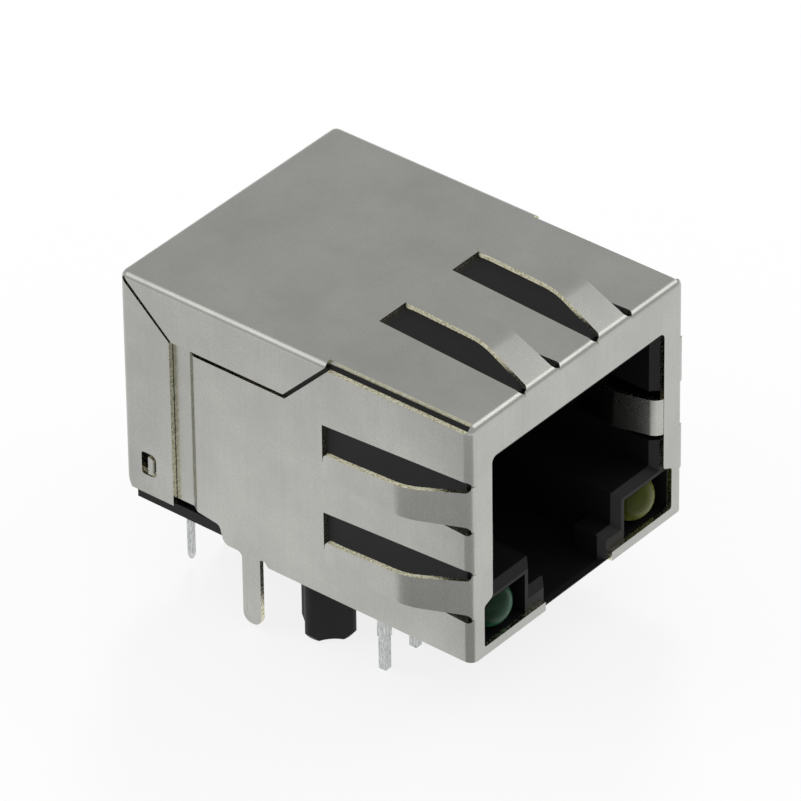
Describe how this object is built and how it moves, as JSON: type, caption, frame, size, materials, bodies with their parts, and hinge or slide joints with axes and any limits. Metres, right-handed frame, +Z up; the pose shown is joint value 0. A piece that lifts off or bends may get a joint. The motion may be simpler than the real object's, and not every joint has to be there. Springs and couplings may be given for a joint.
{
  "type": "modular jack",
  "caption": "Shielded right-angle board jack for a modular network plug, with indicator lamps, grounding fingers and magnetics.",
  "frame": {"origin": "on the board, midway between the two board pegs", "axes": "+X across the width, towards the yellow lamp's side; +Y from the plug mouth to the rear; +Z up from the board"},
  "size_m": [0.0186, 0.0211, 0.0187],
  "materials": {
    "plated_sheet": "satin nickel-plated brass sheet",
    "black_plastic": "matt moulded",
    "gold_plate": "gold-plated spring wire",
    "tin_plate": "matt tin",
    "green_lamp": "tinted diffuse resin",
    "yellow_lamp": "tinted diffuse resin",
    "board": "solder mask on glass laminate",
    "magnet_wire": "enamelled copper",
    "chip": "glazed ceramic",
    "ceramic": "fired ceramic"
  },
  "bodies": {
    "root": {"shield": "plated_sheet", "housing": "black_plastic", "contact_carrier": "black_plastic", "module_case": "black_plastic", "circuit_board": "board", "contact_1": "gold_plate", "contact_2": "gold_plate", "contact_3": "gold_plate", "contact_4": "gold_plate", "contact_5": "gold_plate", "contact_6": "gold_plate", "contact_7": "gold_plate", "contact_8": "gold_plate", "signal_pin_1": "tin_plate", "signal_pin_2": "tin_plate", "signal_pin_3": "tin_plate", "signal_pin_4": "tin_plate", "signal_pin_5": "tin_plate", "signal_pin_6": "tin_plate", "signal_pin_7": "tin_plate", "signal_pin_8": "tin_plate", "signal_pin_9": "tin_plate", "signal_pin_10": "tin_plate", "led_lead_1": "tin_plate", "led_lead_2": "tin_plate", "led_lead_3": "tin_plate", "led_lead_4": "tin_plate", "led_green": "green_lamp", "led_yellow": "yellow_lamp", "wound_core_1": "magnet_wire", "wound_core_2": "magnet_wire", "wound_core_3": "magnet_wire", "wound_core_4": "magnet_wire", "resistor_1": "chip", "resistor_2": "chip", "resistor_3": "chip", "resistor_4": "chip", "capacitor": "ceramic"}
  },
  "joints": []
}
